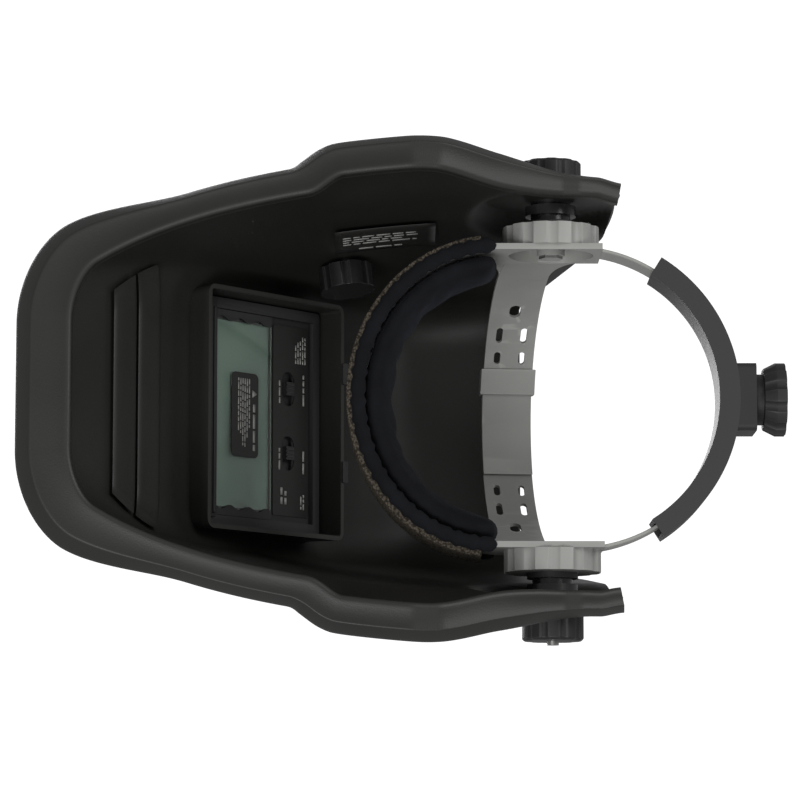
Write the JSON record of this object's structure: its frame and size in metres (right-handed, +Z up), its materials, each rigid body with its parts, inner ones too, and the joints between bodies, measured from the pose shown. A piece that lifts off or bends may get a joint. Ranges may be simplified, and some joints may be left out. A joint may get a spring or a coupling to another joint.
{
  "type": "welding helmet",
  "caption": "Auto-darkening welding helmet with a tilting shell, hinged filter holder, control sliders, shade knob and ratchet headgear.",
  "frame": {"origin": "midpoint of the tilt axis, on the middle plane, inside the headband ring", "axes": "+X to the wearer's left along the tilt axis, -Y the way the wearer faces, +Z up along the axis of the headband ring"},
  "size_m": [0.246, 0.3807, 0.2171],
  "materials": {
    "shell_plastic": "fine textured black",
    "dark_plastic": "satin black",
    "gloss_black": "semi gloss",
    "grey_plastic": "satin light grey",
    "cover_lens": "clear polycarbonate",
    "filter_glass": "green tinted",
    "sweat_fabric": "navy black brushed knit",
    "raw_foam": "open cell foam",
    "steel": "zinc plated",
    "label_film": "printed film",
    "circuit": "solder mask",
    "solar_film": "dark blue cells",
    "gasket_foam": "soft rubber"
  },
  "bodies": {
    "headgear": {"headband": "grey_plastic", "crown_strap_left": "grey_plastic", "crown_strap_right": "grey_plastic", "crown_keeper": "grey_plastic", "sweatband": "sweat_fabric", "sweatband_foam": "raw_foam", "pivot_bolts": "steel", "boss_washers": "dark_plastic", "pivot_bushes": "gloss_black", "spring_washers": "steel", "rear_strap_left": "grey_plastic", "rear_strap_right": "grey_plastic"},
    "shell_body": {"shell": "shell_plastic", "front_cover_lens": "cover_lens", "cover_lens_gasket": "gasket_foam", "shade_pot": "steel", "shade_pot_cover": "dark_plastic"},
    "holder_body": {"filter_holder": "dark_plastic", "hinge_pins": "steel", "retainer_bar": "dark_plastic", "filter_case_inner": "dark_plastic", "filter_case_outer": "dark_plastic", "filter_glass": "filter_glass", "inner_cover_lens": "cover_lens", "filter_label": "label_film", "control_panel": "label_film", "circuit_board": "circuit", "batteries": "steel", "solar_cell": "solar_film", "arc_sensors": "gloss_black"},
    "sensitivity_body": {"sensitivity_slider": "gloss_black"},
    "delay_body": {"delay_slider": "gloss_black"},
    "shade_knob_body": {"shade_knob": "gloss_black"},
    "left_knob_body": {"tension_knob_left": "dark_plastic"},
    "right_knob_body": {"tension_knob_right": "dark_plastic"},
    "rear_yoke": {"rear_sleeve_inner": "dark_plastic", "rear_sleeve_outer": "dark_plastic", "ratchet_housing": "dark_plastic", "pawl_ring": "dark_plastic", "ratchet_spring": "steel"},
    "ratchet_knob_body": {"pinion": "gloss_black", "ratchet_knob": "dark_plastic", "knob_screw": "steel"}
  },
  "joints": [
    {"name": "shell_tilt", "type": "hinge", "parent": "headgear", "child": "shell_body", "pos_m": [0, 0, 0], "axis": [-1, 0, 0], "range_deg": [-41, 40]},
    {"name": "holder_hinge", "type": "hinge", "parent": "shell_body", "child": "holder_body", "pos_m": [0, -0.18165, 0.03336], "axis": [-1, 0, 0], "range_deg": [0, 13]},
    {"name": "sensitivity_slide", "type": "slide", "parent": "holder_body", "child": "sensitivity_body", "axis": [1, 0, 0], "range_m": [-0.004, 0.004]},
    {"name": "delay_slide", "type": "slide", "parent": "holder_body", "child": "delay_body", "axis": [1, 0, 0], "range_m": [-0.004, 0.004]},
    {"name": "shade_turn", "type": "hinge", "parent": "shell_body", "child": "shade_knob_body", "pos_m": [0.07998, -0.105, 0.06], "axis": [0.9806, -0.1305, 0.1465], "range_deg": [0, 270]},
    {"name": "left_knob_turn", "type": "hinge", "parent": "headgear", "child": "left_knob_body", "pos_m": [0.11, 0, 0], "axis": [1, 0, 0], "continuous": true},
    {"name": "right_knob_turn", "type": "hinge", "parent": "headgear", "child": "right_knob_body", "pos_m": [-0.11, 0, 0], "axis": [-1, 0, 0], "continuous": true},
    {"name": "size_adjust", "type": "slide", "parent": "headgear", "child": "rear_yoke", "axis": [0, 1, 0], "range_m": [-0.01, 0.012], "deforming": ["rear_strap_left", "rear_strap_right"]},
    {"name": "ratchet_turn", "type": "hinge", "parent": "rear_yoke", "child": "ratchet_knob_body", "pos_m": [0, 0.1, 0], "axis": [0, 1, 0], "range_deg": [-100, 120]}
  ],
  "couplings": [
    {"joint": "ratchet_turn", "follows": "size_adjust", "rad_per_m": 166.67}
  ]
}
